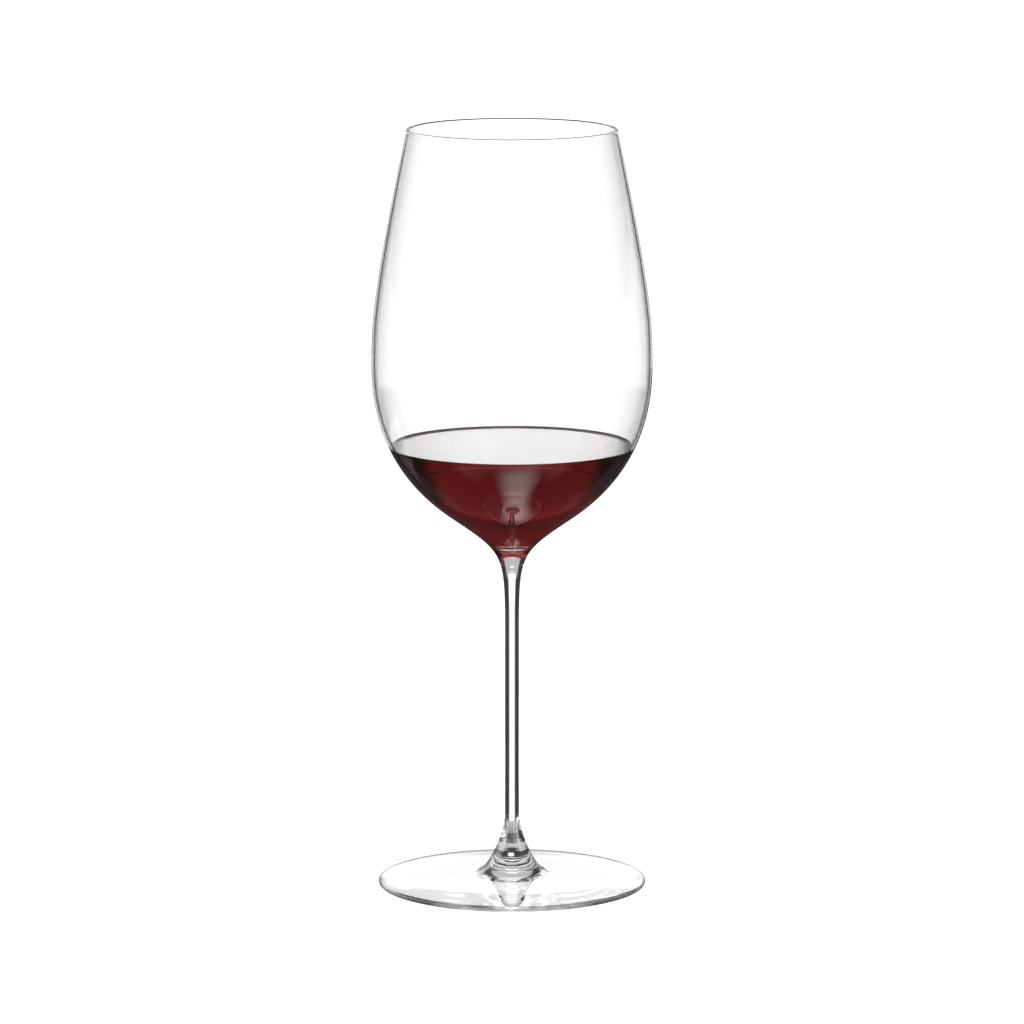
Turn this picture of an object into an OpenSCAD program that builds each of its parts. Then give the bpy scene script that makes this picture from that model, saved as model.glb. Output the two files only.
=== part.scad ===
// Stemmed red wine glass with a tall bowl, filled to its lower third.
// The glass is one solid of revolution: a low foot, a drawn stem and a thin bowl with a
// fire-polished lip. The wine is a second solid, which fills the bowl up to its level.
// The origin is the centre of the foot, on the table. +Z is up, along the stem.

/* [Overall] */
// Height of the glass, from the table to its lip
glass_h = 270; // [225:1:330]

/* [Bowl] */
// Inside height of the bowl, from its floor to its lip
bowl_h = 147; // [120:1:178]
// Widest outer diameter of the bowl
bowl_d = 99; // [82:0.5:120]
// Height of the widest ring above the bowl's floor
belly_h = 63; // [52:0.5:76]
// Outer diameter of the lip
rim_d = 74; // [60:0.5:90]
// Lean of the wall at the lip, inwards from upright, in degrees
rim_lean = 12; // [2:0.5:18]
// Outer diameter of the root ring, where the bowl's underside is steepest
root_d = 38; // [30:0.5:46]
// Height of the root ring above the bowl's floor
root_h = 7.5; // [4:0.5:12]
// Slope of the wall at the root ring, outwards from upright, in degrees
root_slope = 55; // [48:0.5:62]

/* [Wall] */
// Wall at the lip
rim_wall = 1; // [0.8:0.05:1.6]
// Wall at the widest ring
belly_wall = 1.1; // [0.8:0.05:2]
// Wall at the root ring
root_wall = 1.6; // [1.2:0.05:3]

/* [Stem] */
// Diameter of the stem
stem_d = 5; // [4:0.1:9]
// Length over which the stem widens into the bowl, measured down from the bowl's floor
neck_l = 33; // [22:0.5:42]
// Height above the table where the stem starts to widen into the foot
flare_h = 25; // [18:0.5:32]

/* [Foot] */
// Diameter of the foot
foot_d = 95; // [78:0.5:115]
// Thickness of the foot at its rounded edge
foot_edge = 2; // [1.4:0.1:3]
// Diameter at which the stem's flare meets the foot's upper face
flare_d = 26; // [20:0.5:34]
// Height of the foot's upper face where the flare meets it
flare_base = 4.2; // [3.4:0.1:6]
// Width of the flat ring that the foot stands on
rest_w = 5; // [3:0.5:8]
// Rise of the foot's underside at its centre
hollow_h = 1; // [0.4:0.1:1.6]

/* [Wine] */
// Depth of the wine at the centre of the bowl
wine_depth = 34.5; // [12:0.5:60]
// Clearance between the wine and the glass around it
wine_gap = 0.1; // [0.05:0.05:0.3]

/* [Curves] */
// How far the neck keeps the stem's direction, as a share of the neck's length
neck_hold = 0.64; // [0.4:0.01:0.75]
// How far the neck keeps the root ring's slope, as a share of the neck's length
root_hold = 0.46; // [0.2:0.01:0.55]
// How far the lower bowl keeps the root ring's slope, as a share of its length
lower_hold = 0.14; // [0.05:0.01:0.3]
// How far the lower bowl stays upright below the widest ring, as a share of its length
belly_hold = 0.57; // [0.35:0.01:0.7]
// How far the upper bowl stays upright above the widest ring, as a share of its length
upper_hold = 0.17; // [0.05:0.01:0.4]
// How far the upper bowl keeps the lip's lean, as a share of its length
rim_hold = 0.7; // [0.4:0.01:0.8]
// How far the bowl's floor stays level from its centre, as a share of its length
floor_hold = 0.35; // [0.2:0.01:0.5]
// How far the bowl's floor keeps the root ring's slope, as a share of its length
floor_rise_hold = 0.45; // [0.2:0.01:0.55]
// How far the flare keeps the stem's direction, as a share of its length
flare_hold = 0.26; // [0.1:0.01:0.6]
// How far the flare keeps the slope of the foot's upper face, as a share of its length
flare_foot_hold = 0.2; // [0.1:0.01:0.5]
// How far the underside stays level at its centre and at its ring, as a share of its length
hollow_hold = 0.4; // [0.2:0.01:0.5]

/* [Hidden] */

glass_colour = [0.80, 0.86, 0.88, 0.45];
wine_colour = [0.33, 0.05, 0.08];

// Sides of a drawn circle, and steps along a long curve, a short curve and a rounded edge
round_sides = 128;
long_steps = 24;
short_steps = 12;
edge_steps = 8;

// Directions in the (radius, height) plane that the outline is drawn in
outwards = [1, 0];
upwards = [0, 1];
root_dir = [sin(root_slope), cos(root_slope)];
rim_dir = [-sin(rim_lean), cos(rim_lean)];

// Heights above the table
floor_z = glass_h - bowl_h;
neck_z = floor_z - neck_l;
root_z = floor_z + root_h;
belly_z = floor_z + belly_h;
wine_z = floor_z + wine_depth;

// Centres of the lip's rounding and of the foot edge's rounding
lip_r = rim_wall / 2;
lip_centre = [rim_d / 2 - lip_r, glass_h - lip_r];
edge_r = foot_edge / 2;
edge_centre = [foot_d / 2 - edge_r, edge_r];

// Points that the outer outline runs through
rest_in = [edge_centre.x - rest_w, 0];
edge_top = edge_centre + edge_r * upwards;
flare_foot = [flare_d / 2, flare_base];
flare_top = [stem_d / 2, flare_h];
neck_foot = [stem_d / 2, neck_z];
root = [root_d / 2, root_z];
belly = [bowl_d / 2, belly_z];
lip_out = lip_centre + lip_r * [cos(rim_lean), sin(rim_lean)];
foot_dir = unit(flare_foot - edge_top);

// Curves of the outer outline, from the foot up to the lip
flare_curve = blend(flare_foot, foot_dir, flare_foot_hold, flare_top, upwards, flare_hold);
neck_curve = blend(neck_foot, upwards, neck_hold, root, root_dir, root_hold);
lower_curve = blend(root, root_dir, lower_hold, belly, upwards, belly_hold);
upper_curve = blend(belly, upwards, upper_hold, lip_out, rim_dir, rim_hold);

function unit(v) = v / norm(v);

// Direction a quarter turn to the left of v, which is inwards along the bowl's wall
function left_of(v) = [-v.y, v.x];

// Four control points of a cubic curve from a to b, which leaves along dir_a and arrives
// along dir_b. Each hold says how far it keeps that direction, as a share of its chord.
function blend(a, dir_a, hold_a, b, dir_b, hold_b) =
    [a, a + dir_a * hold_a * norm(b - a), b - dir_b * hold_b * norm(b - a), b];

// Point and direction at t, from 0 to 1, on the cubic curve with control points c
function point_on(c, t) =
    c[0] * pow(1 - t, 3)
    + 3 * c[1] * t * pow(1 - t, 2)
    + 3 * c[2] * pow(t, 2) * (1 - t)
    + c[3] * pow(t, 3);
function direction_on(c, t) =
    unit((c[1] - c[0]) * pow(1 - t, 2)
        + 2 * (c[2] - c[1]) * t * (1 - t)
        + (c[3] - c[2]) * pow(t, 2));

// Points along a curve, without its first one, so that curves chain end to end
function along(c, steps) = [for (i = [1 : steps]) point_on(c, i / steps)];

// Points along the inside of a wall whose outer face is the curve c. The wall changes
// evenly from wall_a at its start to wall_b at its end.
function inside_of(c, steps, wall_a, wall_b) =
    [for (i = [1 : steps])
        let (t = i / steps)
        point_on(c, t) + left_of(direction_on(c, t)) * (wall_a + (wall_b - wall_a) * t)];

// Points of an arc about centre, without its first one
function arc(centre, radius, from, to, steps) =
    [for (i = [1 : steps])
        let (a = from + (to - from) * i / steps)
        centre + radius * [cos(a), sin(a)]];

function reversed(points) = [for (i = [len(points) - 1 : -1 : 0]) points[i]];

// Inside of the bowl, from the centre of its floor to the lip. A gap above 0 draws it
// that much smaller, for what fills it.
function cavity(gap) =
    let (
        centre = [0, floor_z + gap],
        floor_end = root + left_of(root_dir) * (root_wall + gap),
        floor_curve = blend(centre, outwards, floor_hold, floor_end, root_dir, floor_rise_hold)
    )
    concat(
        [centre],
        along(floor_curve, short_steps),
        inside_of(lower_curve, long_steps, root_wall + gap, belly_wall + gap),
        inside_of(upper_curve, long_steps, belly_wall + gap, rim_wall + gap)
    );

// Outside of the glass, from the centre of the underside to the lip
function outside() =
    let (
        underside = [0, hollow_h],
        hollow_curve = blend(underside, outwards, hollow_hold, rest_in, outwards, hollow_hold)
    )
    concat(
        [underside],
        along(hollow_curve, short_steps),
        [edge_centre - edge_r * upwards],
        arc(edge_centre, edge_r, -90, 90, edge_steps),
        [flare_foot],
        along(flare_curve, short_steps),
        [neck_foot],
        along(neck_curve, long_steps),
        along(lower_curve, long_steps),
        along(upper_curve, long_steps)
    );

// Rounded lip, from the outer face over the top, short of the inner face
function lip() =
    let (
        outer_half = arc(lip_centre, lip_r, rim_lean, 90, edge_steps / 2),
        inner_half = arc(lip_centre, lip_r, 90, rim_lean + 180, edge_steps / 2)
    )
    concat(outer_half, [for (i = [0 : edge_steps / 2 - 2]) inner_half[i]]);

// Radius of an outline at height z
function radius_at(outline, z) = lookup(z, [for (p = outline) [p.y, p.x]]);

// Foot, stem and bowl in one piece
module glass() {
    color(glass_colour)
        rotate_extrude($fn = round_sides)
            polygon(concat(outside(), lip(), reversed(cavity(0))));
}

// Wine, level on top and clear of the glass by wine_gap
module wine() {
    inside = cavity(wine_gap);
    below = [for (p = inside) if (p.y < wine_z) p];
    surface = [[radius_at(inside, wine_z), wine_z], [0, wine_z]];
    color(wine_colour)
        rotate_extrude($fn = round_sides)
            polygon(concat(below, surface));
}

glass();
wine();
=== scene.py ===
"""Glass of red wine: a clear stemmed glass and the wine in it, in a bright-field studio.

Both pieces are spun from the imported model's own outline, so every size comes from the frame.
Everything is in metres. The glass stands on z = 0, and the camera looks along +Y.
"""
import math

import bmesh
import bpy
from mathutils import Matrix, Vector


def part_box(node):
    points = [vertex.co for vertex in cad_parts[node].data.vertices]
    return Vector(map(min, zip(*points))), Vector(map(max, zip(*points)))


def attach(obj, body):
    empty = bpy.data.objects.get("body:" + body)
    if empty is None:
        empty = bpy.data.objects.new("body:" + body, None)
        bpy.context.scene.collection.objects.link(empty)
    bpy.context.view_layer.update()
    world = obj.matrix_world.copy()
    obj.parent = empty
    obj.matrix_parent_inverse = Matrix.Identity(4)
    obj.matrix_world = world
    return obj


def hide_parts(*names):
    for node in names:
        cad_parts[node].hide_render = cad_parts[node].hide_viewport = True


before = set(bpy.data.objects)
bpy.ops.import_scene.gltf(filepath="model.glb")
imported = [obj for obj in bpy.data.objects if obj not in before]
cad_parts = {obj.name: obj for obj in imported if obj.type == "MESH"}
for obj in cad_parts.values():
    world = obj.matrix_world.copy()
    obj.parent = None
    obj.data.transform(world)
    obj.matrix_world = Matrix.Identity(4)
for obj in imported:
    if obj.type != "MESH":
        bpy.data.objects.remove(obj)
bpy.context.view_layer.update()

MM = 0.001
MICRONS = 1e6               # in a metre
SAME_RING = 4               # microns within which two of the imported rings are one
SIDES = 160                 # segments of a spun piece
FINER = 3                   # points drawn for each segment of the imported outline
SEED = 7.3                  # moves every noise pattern

# Camera: its place, the height on the axis that it looks at, and half its field of view
CAMERA_BACK = 2.21
CAMERA_HEIGHT = 0.5
LOOK_AT_HEIGHT = 0.134
HALF_VIEW = math.radians(4.617)
SENSOR = 36.0
CLIP_END = 100

# Wine: how far it reaches into the wall, and the curve where its surface climbs the wall
SOAK = 0.25 * MM
MENISCUS_RISE = 0.45 * MM
MENISCUS_WIDTH = 0.9 * MM
MENISCUS_REACH = 5          # widths over which the curve is drawn
MENISCUS_STEPS = 14
MENISCUS_BUNCH = 1.6        # above 1 draws its points closer together at the wall
EDGE_CLEAR = 0.05 * MM      # no ring of the wall is kept nearer than this below the wine's edge
SURFACE_RINGS = 4           # rings over the level part of the surface


# ---------------------------------------------------------------- outlines

def ring_of(vertex):
    """The ring that a vertex of a round piece lies on, as (radius, height) in microns."""
    x, y, z = vertex.co
    return round(math.hypot(x, y) * MICRONS), round(z * MICRONS)


def is_same(a, b):
    return abs(a[0] - b[0]) < SAME_RING and abs(a[1] - b[1]) < SAME_RING


def joined_rings(node):
    """Which of a node's rings are joined by an edge, with near doubles as one ring."""
    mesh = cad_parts[node].data
    rings = [ring_of(v) for v in mesh.vertices]
    kept = {}
    for ring in sorted(set(rings)):
        kept[ring] = next((k for k in kept.values() if is_same(k, ring)), ring)
    joined = {}
    for edge in mesh.edges:
        a, b = (kept[rings[i]] for i in edge.vertices)
        if a != b:
            joined.setdefault(a, set()).add(b)
            joined.setdefault(b, set()).add(a)
    return joined


def outline(node):
    """A round node's outline as (radius, height) points, from its lowest end on the axis."""
    joined = joined_rings(node)
    on_axis = [ring for ring in joined if ring[0] < SAME_RING]
    path = [min(on_axis, key=lambda ring: ring[1])]
    while True:
        ahead = [ring for ring in joined[path[-1]] if ring not in path]
        if not ahead:
            break
        path.append(min(ahead, key=lambda ring: math.dist(ring, path[-1])))
    return [(r / MICRONS, z / MICRONS) for r, z in path]


def on_line(a, b, start, end, t):
    """The point at t on the straight line that is at a at start and at b at end."""
    return a * ((end - t) / (end - start)) + b * ((t - start) / (end - start))


def smoothed(points, finer):
    """A finer outline that runs smoothly through the points: a centripetal Catmull-Rom curve."""
    pts = [Vector(p) for p in points]
    before = Vector((-pts[1].x, pts[1].y))
    after = Vector((-pts[-2].x, pts[-2].y))
    pts = [before] + pts + [after]
    out = []
    for p in zip(pts, pts[1:], pts[2:], pts[3:]):
        times = [0.0]
        for a, b in zip(p, p[1:]):
            times.append(times[-1] + math.sqrt((b - a).length))
        for k in range(finer):
            t = times[1] + (times[2] - times[1]) * k / finer
            a = [on_line(p[i], p[i + 1], times[i], times[i + 1], t) for i in range(3)]
            b = [on_line(a[i], a[i + 1], times[i], times[i + 2], t) for i in range(2)]
            out.append(on_line(b[0], b[1], times[1], times[2], t))
    out.append(pts[-2])
    return [(max(p.x, 0.0), p.y) for p in out]


def inner_wall(points):
    """The part of the glass's outline inside the bowl, from the centre of its floor to the lip."""
    lip = max(range(len(points)), key=lambda i: points[i][1])
    return points[lip:][::-1]


def pushed_out(points, by):
    """The points moved into the wall, square to the outline, with the first left on the axis."""
    out = [(0.0, points[0][1] - by)]
    for before, here, after in zip(points, points[1:], points[2:]):
        along = (Vector(after) - Vector(before)).normalized()
        moved = Vector(here) + Vector((along.y, -along.x)) * by
        out.append((moved.x, moved.y))
    return out


def climbing_edge(edge_r, level):
    """The wine's surface from the wall inwards, as it falls to its level."""
    points = []
    for i in range(MENISCUS_STEPS):
        share = (i / MENISCUS_STEPS) ** MENISCUS_BUNCH
        away = MENISCUS_WIDTH * MENISCUS_REACH * share
        rise = MENISCUS_RISE * math.exp(-away / MENISCUS_WIDTH)
        points.append((edge_r - away, level + rise))
    return points


def wine_outline(glass_points):
    """Up the wetted wall, over the climbing edge and in along the level surface."""
    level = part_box("wine")[1].z
    edge_z = level + MENISCUS_RISE
    wall = pushed_out(inner_wall(glass_points), SOAK)
    wetted = [p for p in wall if p[1] < edge_z - EDGE_CLEAR]
    (r0, z0), (r1, z1) = wetted[-1], wall[len(wetted)]
    edge_r = r0 + (r1 - r0) * (edge_z - z0) / (z1 - z0)
    surface = climbing_edge(edge_r, level)
    shares = [k / (SURFACE_RINGS + 1) for k in range(SURFACE_RINGS, -1, -1)]
    return wetted + surface + [(surface[-1][0] * share, level) for share in shares]


# ---------------------------------------------------------------- materials

class Nodes:
    """A material with short calls that add nodes to it and link them."""

    def __init__(self, name):
        self.material = bpy.data.materials.new(name)
        self.material.use_nodes = True
        self.tree = self.material.node_tree
        self.tree.nodes.clear()
        self.output = self.add("ShaderNodeOutputMaterial")

    def add(self, kind, inputs=None, **settings):
        """A new node. An input that is a socket is linked, and any other is set."""
        node = self.tree.nodes.new(kind)
        for key, value in settings.items():
            setattr(node, key, value)
        for key, value in (inputs or {}).items():
            if isinstance(value, bpy.types.NodeSocket):
                self.tree.links.new(value, node.inputs[key])
            else:
                node.inputs[key].default_value = value
        return node

    def shade(self, shader, socket="Surface"):
        """The finished material, with this shader as its surface or its volume."""
        self.tree.links.new(shader.outputs[0], self.output.inputs[socket])
        return self.material

    def glow(self, strength):
        """The finished material, as plain white light."""
        colour = (1, 1, 1, 1)
        return self.shade(self.add("ShaderNodeEmission", {"Color": colour, "Strength": strength}))

    def math(self, operation, a, b=0.0):
        return self.add("ShaderNodeMath", {0: a, 1: b}, operation=operation).outputs[0]

    def ease(self, value, low, high, to_low=0.0, to_high=1.0):
        """A value eased from to_low at low to to_high at high."""
        inputs = {"Value": value, "From Min": low, "From Max": high,
                  "To Min": to_low, "To Max": to_high}
        node = self.add("ShaderNodeMapRange", inputs, interpolation_type="SMOOTHSTEP")
        return node.outputs["Result"]

    def noise(self, scale, detail, stretch=(1, 1, 1), warp=0.0):
        place = self.add("ShaderNodeTexCoord").outputs["Object"]
        moved = self.add("ShaderNodeMapping", {"Vector": place, "Scale": stretch,
                                               "Location": (SEED, -SEED, SEED / 2)}).outputs[0]
        inputs = {"Vector": moved, "Scale": scale, "Detail": detail, "Distortion": warp}
        return self.add("ShaderNodeTexNoise", inputs).outputs["Fac"]

    def bump(self, height, strength, distance):
        inputs = {"Height": height, "Strength": strength, "Distance": distance}
        return self.add("ShaderNodeBump", inputs).outputs[0]

    def ramp(self, value, *stops):
        """A colour ramp through (place, colour) stops."""
        node = self.add("ShaderNodeValToRGB", {"Fac": value})
        elements = node.color_ramp.elements
        while len(elements) < len(stops):
            elements.new(0.5)
        for element, (place, colour) in zip(elements, stops):
            element.position = place
            element.color = (*colour, 1.0)
        return node.outputs["Color"]


def glass_material():
    """Clear crystal, with the faint tint, drawn waves and handling marks of blown glass."""
    n = Nodes("clear_crystal")
    tint = n.ramp(n.noise(22, 3), (0.3, (0.985, 0.99, 0.992)), (0.7, (1.0, 1.0, 1.0)))
    marks = n.ease(n.noise(60, 4, warp=0.6), low=0.55, high=0.8, to_high=0.02)
    waves = n.noise(26, 1, stretch=(1, 1, 0.35))
    return n.shade(n.add("ShaderNodeBsdfPrincipled", {
        "Base Color": tint, "Roughness": marks, "Normal": n.bump(waves, 0.18, 0.4 * MM),
        "IOR": 1.5, "Transmission Weight": 1.0}))


def wine_material():
    """Deep red wine: its colour comes from depth, by absorption, and a little from its skin."""
    n = Nodes("red_wine")
    tint = n.ramp(n.noise(40, 3), (0.3, (0.56, 0.26, 0.28)), (0.7, (0.63, 0.31, 0.33)))
    ripple = n.noise(90, 1)
    n.shade(n.add("ShaderNodeVolumeAbsorption", {"Color": (0.70, 0.10, 0.12, 1), "Density": 50}),
            "Volume")
    return n.shade(n.add("ShaderNodeBsdfPrincipled", {
        "Base Color": tint, "Roughness": 0.0, "Normal": n.bump(ripple, 0.1, 0.1 * MM),
        "IOR": 1.34, "Transmission Weight": 1.0}))


# ---------------------------------------------------------------- studio

FLOOR_DROP = 0.2 * MM       # keeps the floor just clear of the foot's ground ring
FLOOR_R = 8.0
BACKDROP_R = 12.0
BEHIND_R = 1.1 * BACKDROP_R
MIRRORED_R = 1.2 * BACKDROP_R

WHITE = 1.25                # brightness of the floor, the backdrop and the screens
SHINE = 2.6                 # small band above a screen, which the wine's surface mirrors
SOFT = 0.5                  # softer light above the screens, which shows through the wine
SOFT_TOP = 1.7 * SOFT       # the same light higher up, which shows through the deepest wine
MIRRORED = 0.75             # low light that the back of the foot's upper face mirrors
MIRRORED_HIGH = 3.0         # higher light that its front mirrors
STRIP = 2.4                 # strip under the bowl, which the bowl mirrors as its highlight
STRIP_THROUGH = 0.8 * STRIP  # the part of it that is seen through the foot
DIM = 0.045                 # the dark between the lights, which draws the glass's edges

# Where the screens stand, in degrees from +Y towards +X, and half the width of the light over
# each, as the sideways part of a direction
SCREENS = {0: 0.35, -90: 0.25, 135: 0.25}
LOW_SCREEN = -45            # a screen for looking down at the glass from its right


class Sky(Nodes):
    """A dome's glow, painted by direction from its middle."""

    def __init__(self, name):
        super().__init__(name)
        place = self.add("ShaderNodeTexCoord").outputs["Object"]
        self.way = self.vector("NORMALIZE", place)
        self.parts = self.add("ShaderNodeSeparateXYZ", {0: self.way}).outputs
        self.height = self.parts["Z"]
        self.level = self.vector("NORMALIZE", self.vector("MULTIPLY", self.way, (1, 1, 0)))

    def vector(self, operation, a, b=(0, 0, 0), output="Vector"):
        node = self.add("ShaderNodeVectorMath", {0: a, 1: b}, operation=operation)
        return node.outputs[output]

    def times(self, *values):
        product = values[0]
        for value in values[1:]:
            product = self.math("MULTIPLY", product, value)
        return product

    def most(self, values):
        most = values[0]
        for value in values[1:]:
            most = self.math("MAXIMUM", most, value)
        return most

    def within(self, value, low, high, soft):
        """1 between low and high, fading to 0 over soft on each side."""
        rise = self.ease(value, low - soft, low)
        fall = self.ease(value, high, high + soft, 1.0, 0.0)
        return self.times(rise, fall)

    def between(self, low, high, soft):
        """1 where the direction's height, in degrees, is between low and high."""
        low_edge, high_edge, fade = (math.sin(math.radians(a)) for a in (low, high, soft))
        return self.within(self.height, low_edge, high_edge, fade)

    def around(self, angle, half, soft):
        """1 within half of a compass angle, in degrees."""
        a = math.radians(angle)
        facing = self.vector("DOT_PRODUCT", self.level, (math.sin(a), math.cos(a), 0), "Value")
        edge, end = (math.cos(math.radians(h)) for h in (half, half + soft))
        return self.ease(facing, end, edge)

    def ahead(self, angle, half, soft):
        """1 in an upright band towards a compass angle, from -half to half of its sideways part."""
        a = math.radians(angle)
        forward = self.vector("DOT_PRODUCT", self.way, (math.sin(a), math.cos(a), 0), "Value")
        aside = self.vector("DOT_PRODUCT", self.way, (math.cos(a), -math.sin(a), 0), "Value")
        return self.times(self.within(aside, -half, half, soft), self.ease(forward, 0.0, 0.05))

    def lit_by(self, lights):
        """The finished dome, as bright everywhere as the brightest light there."""
        return self.glow(self.math("ADD", self.most(lights), DIM))


def low_strip(sky, near, strength):
    """A soft strip of light under the bowl, a little to its right, narrower at its far end."""
    narrowing = sky.ease(sky.parts["Y"], low=-0.3, high=0.2, to_low=0.7, to_high=1.6)
    across = sky.within(sky.times(sky.parts["X"], narrowing), low=0.03, high=0.07, soft=0.2)
    along = sky.within(sky.parts["Y"], low=near, high=0.3, soft=0.18)
    under = sky.ease(sky.height, low=-0.75, high=-0.6, to_low=1.0, to_high=0.0)
    return sky.times(across, along, under, strength)


def screen(sky, angle, half):
    """A white screen behind the glass, with the softer light and the small band over it."""
    lower = sky.times(sky.ahead(angle, half=0.16, soft=0.2),
                      sky.between(low=-21, high=-1, soft=4), WHITE)
    upper = sky.times(sky.ahead(angle, half=0.24, soft=0.08),
                      sky.between(low=-8, high=2, soft=1.5), WHITE)
    over = sky.times(sky.ahead(angle, half, soft=0.14), sky.between(low=2, high=75, soft=4),
                     sky.ease(sky.height, 0.5, 0.7, SOFT, SOFT_TOP))
    band = sky.times(sky.ahead(angle, half=0.07, soft=0.07),
                     sky.between(low=8, high=10, soft=1), SHINE)
    return [lower, upper, over, band]


def seen_through():
    """What shows through the glass: white screens with dark between them, and fill lights."""
    sky = Sky("studio_behind")
    lights = [low_strip(sky, 0.05, STRIP_THROUGH)]
    for angle, half in SCREENS.items():
        lights += screen(sky, angle, half)
    lights.append(sky.times(sky.ahead(LOW_SCREEN, half=0.2, soft=0.1),
                            sky.between(low=-31, high=-20, soft=2), WHITE))
    lights.append(sky.times(sky.around(180, half=70, soft=15),
                            sky.between(low=-58, high=-38, soft=6), SOFT))
    for angle in (-32, 32):
        lights.append(sky.times(sky.around(angle, half=8, soft=4),
                                sky.between(low=-46, high=-24, soft=4), SOFT / 2))
    return sky.lit_by(lights)


def mirrored():
    """What the glass mirrors: dark, with light for the foot's upper face and the bowl's sides."""
    sky = Sky("studio_mirrored")
    lights = [low_strip(sky, -0.36, STRIP)]
    for angle in (*SCREENS, LOW_SCREEN):
        behind = sky.around(angle, half=25, soft=12)
        lights.append(sky.times(behind, sky.between(low=2, high=12, soft=3), MIRRORED))
        lights.append(sky.times(behind, sky.between(low=16, high=28, soft=4), MIRRORED_HIGH))
    beside = sky.math("SUBTRACT", sky.around(0, half=75, soft=10), sky.around(0, half=32, soft=8))
    lights.append(sky.times(beside, sky.between(low=-9, high=1, soft=2), WHITE))
    return sky.lit_by(lights)


def stage_piece(name, mesh, material):
    """A piece of the studio made from a bmesh."""
    data = bpy.data.meshes.new(name)
    mesh.to_mesh(data)
    mesh.free()
    data.materials.append(material)
    piece = bpy.data.objects.new(name, data)
    bpy.context.scene.collection.objects.link(piece)
    return piece


def make_floor(material):
    mesh = bmesh.new()
    bmesh.ops.create_circle(mesh, cap_ends=True, segments=96, radius=FLOOR_R)
    bmesh.ops.translate(mesh, verts=mesh.verts, vec=(0, 0, -FLOOR_DROP))
    return stage_piece("floor", mesh, material)


def make_dome(name, material, radius):
    mesh = bmesh.new()
    bmesh.ops.create_uvsphere(mesh, u_segments=64, v_segments=32, radius=radius)
    bmesh.ops.reverse_faces(mesh, faces=mesh.faces)
    return stage_piece(name, mesh, material)


def make_studio():
    """A plain white floor and backdrop, a dome that shows through the glass, and one it mirrors."""
    white = Nodes("studio_white").glow(WHITE)
    for plain in (make_floor(white), make_dome("backdrop", white, BACKDROP_R)):
        plain.visible_glossy = False
        plain.visible_transmission = False
    behind = make_dome("dome_behind", seen_through(), BEHIND_R)
    behind.visible_camera = False
    behind.visible_glossy = False
    around = make_dome("dome_mirrored", mirrored(), MIRRORED_R)
    around.visible_camera = False
    around.visible_transmission = False


def make_camera():
    data = bpy.data.cameras.new("camera")
    data.sensor_width = SENSOR
    data.lens = SENSOR / 2 / math.tan(HALF_VIEW)
    data.clip_end = CLIP_END
    camera = bpy.data.objects.new("camera", data)
    camera.location = (0, -CAMERA_BACK, CAMERA_HEIGHT)
    aim = Vector((0, 0, LOOK_AT_HEIGHT)) - camera.location
    camera.rotation_mode = "QUATERNION"
    camera.rotation_quaternion = aim.to_track_quat("-Z", "Y")
    bpy.context.scene.collection.objects.link(camera)
    bpy.context.scene.camera = camera


def set_light_paths():
    """Enough bounces for glass behind wine behind glass, and colours shown as they are."""
    scene = bpy.context.scene
    scene.cycles.max_bounces = 96
    scene.cycles.transmission_bounces = 96
    scene.cycles.glossy_bounces = 96
    scene.cycles.sample_clamp_indirect = 0.0
    scene.view_settings.view_transform = "Standard"
    scene.view_settings.look = "None"


# ---------------------------------------------------------------- pieces

def spin(name, points):
    """A closed solid of revolution. The outline starts and ends on the axis."""
    mesh = bmesh.new()
    bottom = mesh.verts.new((0, 0, points[0][1]))
    top = mesh.verts.new((0, 0, points[-1][1]))
    turns = [2 * math.pi * k / SIDES for k in range(SIDES)]
    rings = [[mesh.verts.new((r * math.cos(a), r * math.sin(a), z)) for a in turns]
             for r, z in points[1:-1]]
    for k in range(SIDES):
        n = (k + 1) % SIDES
        mesh.faces.new((bottom, rings[0][n], rings[0][k]))
        mesh.faces.new((top, rings[-1][k], rings[-1][n]))
        for low, high in zip(rings, rings[1:]):
            mesh.faces.new((low[k], low[n], high[n], high[k]))
    bmesh.ops.recalc_face_normals(mesh, faces=mesh.faces)
    data = bpy.data.meshes.new(name)
    mesh.to_mesh(data)
    mesh.free()
    data.shade_smooth()
    piece = bpy.data.objects.new(name, data)
    bpy.context.scene.collection.objects.link(piece)
    return piece


def make_piece(name, points, material, node):
    """A spun piece in place of the node that it was drawn from."""
    piece = spin(name, points)
    piece.data.materials.append(material)
    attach(piece, "root")
    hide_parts(node)
    return piece


make_camera()
set_light_paths()
make_studio()
glass_points = smoothed(outline("glass"), FINER)
make_piece("glass_body", glass_points, glass_material(), "glass")
make_piece("wine_fill", wine_outline(glass_points), wine_material(), "wine")
bpy.context.view_layer.update()
